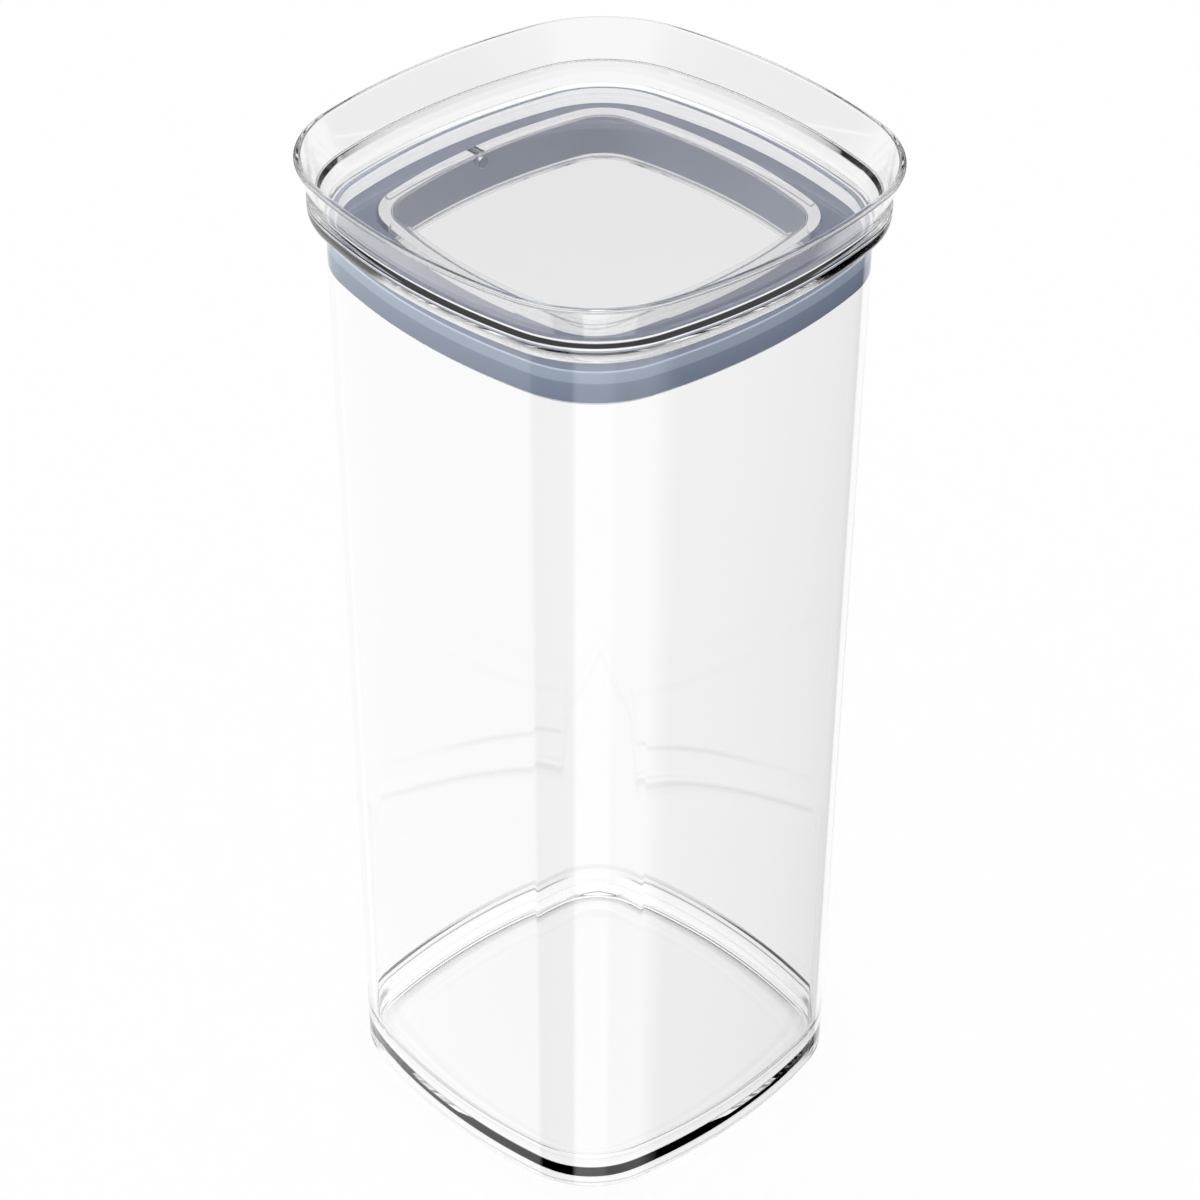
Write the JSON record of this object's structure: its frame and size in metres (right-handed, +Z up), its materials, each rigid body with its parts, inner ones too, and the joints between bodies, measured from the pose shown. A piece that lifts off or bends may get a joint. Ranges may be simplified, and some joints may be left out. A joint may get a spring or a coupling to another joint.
{
  "type": "lidded canister",
  "caption": "Tall clear rounded-square canister with a flared stacking lid; a square plug under the lid carries a soft grey-blue seal, and the lid lifts straight off.",
  "frame": {"origin": "middle of the base, on the table plane", "axes": "+Z up along the canister's axis; +X and +Y square to its bowed sides; the seal's peg is on the -X side"},
  "size_m": [0.112, 0.112, 0.2421],
  "materials": {
    "clear_body": "water-clear polished moulding",
    "clear_lid": "water-clear polished moulding",
    "seal": "satin soft grey-blue"
  },
  "bodies": {
    "canister": {"canister": "clear_body"},
    "lid": {"lid_tray": "clear_lid", "plug_frame": "clear_lid", "seal_ring": "seal"}
  },
  "joints": [
    {"name": "lid_lift", "type": "slide", "parent": "canister", "child": "lid", "axis": [0, 0, 1], "range_m": [0, 0.09]}
  ]
}
